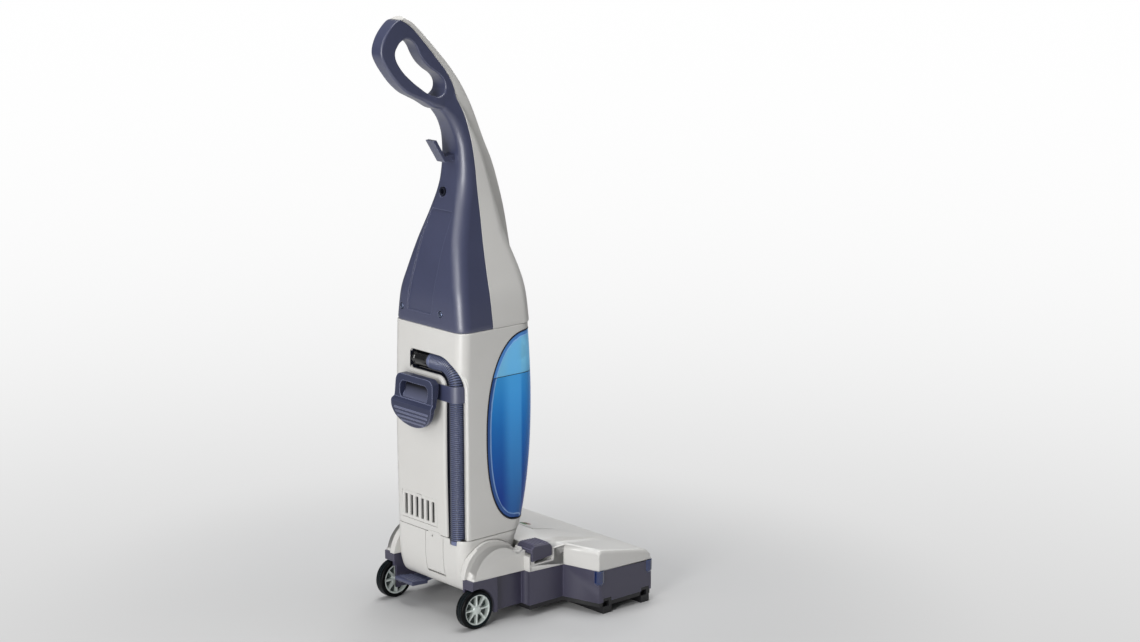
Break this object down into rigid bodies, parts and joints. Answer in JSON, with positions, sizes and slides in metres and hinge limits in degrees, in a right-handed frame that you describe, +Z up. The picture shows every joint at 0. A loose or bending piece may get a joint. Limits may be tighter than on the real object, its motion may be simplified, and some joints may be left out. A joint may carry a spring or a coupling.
{
  "type": "upright vacuum cleaner",
  "caption": "upright vacuum cleaner with a wide brush head on two wheels, a tip-back housing, a clear front dust bin, a rear hose and a curved handle ending in a hand loop",
  "frame": {"origin": "bottom centre of the whole machine standing upright on the floor", "axes": "+Z up, -Y towards the nozzle at the front, +Y towards the user, +X to the machine's left as the user sees the front"},
  "size_m": [0.3984, 0.493, 1.183],
  "materials": {
    "shell_grey": "satin moulded shell",
    "slate_plastic": "satin moulded slate blue",
    "plum_plastic": "fine grained dark chassis plastic",
    "black_plastic": "moulded black plastic",
    "black_rubber": "soft black seal",
    "tyre_rubber": "smooth black tread",
    "hub_silver": "silver moulded hub",
    "steel": "plain turned pins and screws",
    "motor_metal": "cast casing",
    "clear_blue": "clear blue tinted moulding",
    "filter_blue": "pleated filter",
    "hose_slate": "ribbed flexible hose",
    "navy_gloss": "polished corner bumper",
    "brush_dark": "roller with bristle rows",
    "lens_plastic": "clear coloured lens",
    "green_plastic": "gloss rocker",
    "red_plastic": "gloss rocker",
    "yellow_plastic": "gloss button",
    "teal_plastic": "gloss slider"
  },
  "bodies": {
    "head": {"chassis": "plum_plastic", "top_cover": "shell_grey", "sole_plate": "black_plastic", "glide_strips": "black_plastic", "corner_bumpers": "navy_gloss", "indicator_panel": "shell_grey", "indicator_lenses": "lens_plastic", "brush_motor": "motor_metal", "drive_belt": "black_rubber", "brush_bearings": "steel", "head_duct": "black_plastic", "pivot_trunnions": "motor_metal", "stub_axles": "steel", "side_pedal_pin": "steel"},
    "brush": {"brush_roller": "brush_dark"},
    "pulley": {"motor_pulley": "black_plastic"},
    "wheel_left": {"tyre_left": "tyre_rubber", "hub_left": "hub_silver"},
    "wheel_right": {"tyre_right": "tyre_rubber", "hub_right": "hub_silver"},
    "side_pedal": {"side_pedal": "plum_plastic"},
    "upright": {"lower_housing": "shell_grey", "main_housing": "shell_grey", "pivot_bushes": "black_plastic", "hinge_pins": "steel", "exhaust_filter": "black_plastic", "suction_motor": "motor_metal", "fan_housing": "motor_metal", "motor_cradle": "black_rubber", "lower_duct": "black_plastic", "hose": "hose_slate", "hose_cuff": "black_rubber", "hose_port": "slate_plastic", "hose_socket": "black_plastic", "hose_strap": "slate_plastic", "hook_stud": "steel", "bin_seal": "black_rubber", "handle_rear": "slate_plastic", "hand_loop": "slate_plastic", "handle_front": "shell_grey", "handle_screws": "steel", "upper_hook": "slate_plastic", "cord_gland": "black_plastic", "switch_frame": "black_plastic"},
    "release_pedal": {"release_pedal": "slate_plastic"},
    "access_door": {"access_door": "shell_grey"},
    "exhaust_grille": {"exhaust_grille": "shell_grey"},
    "fan": {"motor_shaft": "steel", "impeller": "motor_metal"},
    "cord_hook": {"cord_hook": "slate_plastic"},
    "bin": {"bin_body": "clear_blue", "bin_lid": "clear_blue", "bin_tube": "clear_blue", "bin_filter": "filter_blue"},
    "bin_latch": {"bin_latch": "clear_blue"},
    "lock_slider": {"lock_slider": "teal_plastic"},
    "filter_knob": {"filter_knob": "black_plastic"},
    "rocker_green": {"rocker_green": "green_plastic"},
    "rocker_red": {"rocker_red": "red_plastic"},
    "handle_button": {"handle_button": "yellow_plastic"}
  },
  "joints": [
    {"name": "recline", "type": "hinge", "parent": "head", "child": "upright", "pos_m": [0.04125, 0.0725, 0.09], "axis": [-1, 0, 0], "range_deg": [0, 42]},
    {"name": "brush_turn", "type": "hinge", "parent": "head", "child": "brush", "pos_m": [0.04125, -0.1775, 0.0315], "axis": [1, 0, 0], "continuous": true},
    {"name": "pulley_turn", "type": "hinge", "parent": "head", "child": "pulley", "pos_m": [0.04125, -0.0975, 0.074], "axis": [1, 0, 0], "continuous": true},
    {"name": "wheel_left_turn", "type": "hinge", "parent": "head", "child": "wheel_left", "pos_m": [-0.08675, 0.1273, 0.039], "axis": [1, 0, 0], "continuous": true},
    {"name": "wheel_right_turn", "type": "hinge", "parent": "head", "child": "wheel_right", "pos_m": [0.16925, 0.1273, 0.039], "axis": [1, 0, 0], "continuous": true},
    {"name": "side_pedal_press", "type": "hinge", "parent": "head", "child": "side_pedal", "pos_m": [-0.09175, -0.0015, 0.118], "axis": [1, 0, 0], "range_deg": [0, 8], "stiffness_Nm_per_rad": 1.2, "springref_deg": -9.74},
    {"name": "release_press", "type": "hinge", "parent": "upright", "child": "release_pedal", "pos_m": [0.10925, 0.0885, 0.0515], "axis": [-1, 0, 0], "range_deg": [0, 12], "stiffness_Nm_per_rad": 0.8, "springref_deg": -11.46},
    {"name": "door_swing", "type": "hinge", "parent": "upright", "child": "access_door", "pos_m": [0.02225, 0.12771, 0.0931], "axis": [-1, 0, 0], "range_deg": [0, 88]},
    {"name": "grille_tip", "type": "hinge", "parent": "upright", "child": "exhaust_grille", "pos_m": [0.06625, 0.13746, 0.1854], "axis": [-1, 0, 0], "range_deg": [0, 90]},
    {"name": "fan_turn", "type": "hinge", "parent": "upright", "child": "fan", "pos_m": [0.09125, 0.0575, 0.116], "axis": [1, 0, 0], "continuous": true},
    {"name": "hook_swivel", "type": "hinge", "parent": "upright", "child": "cord_hook", "pos_m": [0.04125, 0.1525, 0.455], "axis": [0, 1, 0], "range_deg": [0, 180]},
    {"name": "bin_pull", "type": "slide", "parent": "upright", "child": "bin", "axis": [0, -1, 0], "range_m": [0, 0.25]},
    {"name": "latch_lift", "type": "hinge", "parent": "bin", "child": "bin_latch", "pos_m": [0.04125, -0.0681, 0.498], "axis": [-1, 0, 0], "range_deg": [0, 18], "stiffness_Nm_per_rad": 0.05, "springref_deg": -8.02},
    {"name": "lock_slide", "type": "slide", "parent": "bin", "child": "lock_slider", "axis": [0, 0, -1], "range_m": [0, 0.0145]},
    {"name": "knob_turn", "type": "hinge", "parent": "bin", "child": "filter_knob", "pos_m": [-0.02475, -0.0275, 0.518], "axis": [0, -1, 0], "continuous": true},
    {"name": "green_rock", "type": "hinge", "parent": "upright", "child": "rocker_green", "pos_m": [0.04125, -0.01627, 0.88363], "axis": [1, 0, 0], "range_deg": [0, 14]},
    {"name": "red_rock", "type": "hinge", "parent": "upright", "child": "rocker_red", "pos_m": [0.04125, -0.02761, 0.84737], "axis": [1, 0, 0], "range_deg": [0, 14]},
    {"name": "button_press", "type": "slide", "parent": "upright", "child": "handle_button", "axis": [0, 0.9146, -0.4044], "range_m": [0, 0.003], "stiffness_N_per_m": 300, "springref_m": -0.002}
  ],
  "couplings": [
    {"joint": "brush_turn", "follows": "pulley_turn", "ratio": 0.9}
  ]
}
